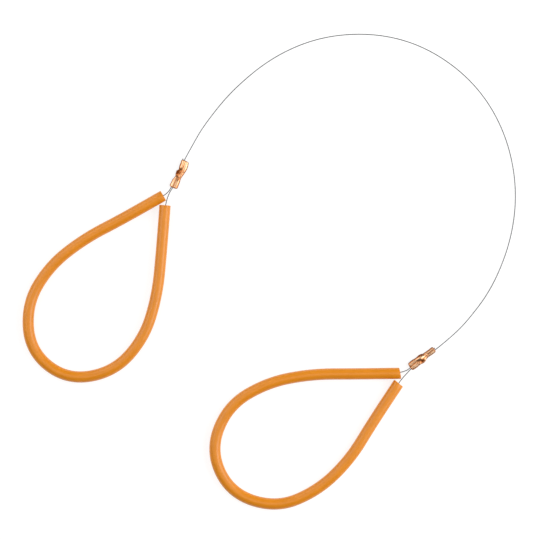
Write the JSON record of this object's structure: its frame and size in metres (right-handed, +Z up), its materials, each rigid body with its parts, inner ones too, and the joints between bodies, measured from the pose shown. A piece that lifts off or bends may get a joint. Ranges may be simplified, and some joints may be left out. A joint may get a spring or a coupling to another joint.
{
  "type": "hand cutting wire",
  "caption": "Cutting wire for clay or other soft blocks: a springy steel wire looped at each end through a rubber tube hand loop and held by a crimped copper sleeve.",
  "frame": {"origin": "on the floor, under the middle of the box round the two hand loops and their sleeves", "axes": "+Z up from the floor the tool lies on, +X from the left hand loop towards the right one, +Y towards the wire's bow"},
  "size_m": [0.284, 0.2741, 0.0065],
  "materials": {
    "steel_wire": "fine stranded stainless, bright drawn",
    "copper_sleeve": "bright copper, pressed",
    "orange_rubber": "satin extruded rubber, solid orange"
  },
  "bodies": {
    "left_wire_half": {"cutting_wire_left_half": "steel_wire"},
    "right_wire_half": {"cutting_wire_right_half": "steel_wire"},
    "left_crimp": {"left_crimp_sleeve": "copper_sleeve", "left_crimped_wires": "steel_wire"},
    "left_handle": {"left_handle_tube": "orange_rubber", "left_loop_wire": "steel_wire"},
    "right_crimp": {"right_crimp_sleeve": "copper_sleeve", "right_crimped_wires": "steel_wire"},
    "right_handle": {"right_handle_tube": "orange_rubber", "right_loop_wire": "steel_wire"}
  },
  "joints": [
    {"name": "wire_bow", "type": "hinge", "parent": "left_wire_half", "child": "right_wire_half", "pos_m": [0.12875, 0.15475, 0.00025], "axis": [0, 0, 1], "range_deg": [0, 60], "stiffness_Nm_per_rad": 0.003},
    {"name": "left_wire_swing", "type": "hinge", "parent": "left_wire_half", "child": "left_crimp", "pos_m": [-0.02615, 0.10014, 0.0015], "axis": [0, 0, 1], "range_deg": [-15, 15], "stiffness_Nm_per_rad": 0.01},
    {"name": "left_handle_fold", "type": "hinge", "parent": "left_crimp", "child": "left_handle", "pos_m": [-0.03322, 0.0846, 0.0015], "axis": [-0.9196, 0.3927, 0], "range_deg": [-60, 60], "stiffness_Nm_per_rad": 0.02},
    {"name": "right_wire_swing", "type": "hinge", "parent": "right_wire_half", "child": "right_crimp", "pos_m": [0.11809, -0.00893, 0.0015], "axis": [0, 0, 1], "range_deg": [-15, 15], "stiffness_Nm_per_rad": 0.01},
    {"name": "right_handle_fold", "type": "hinge", "parent": "right_crimp", "child": "right_handle", "pos_m": [0.10408, -0.01953, 0.0015], "axis": [-0.6213, 0.7836, 0], "range_deg": [-60, 60], "stiffness_Nm_per_rad": 0.02}
  ]
}
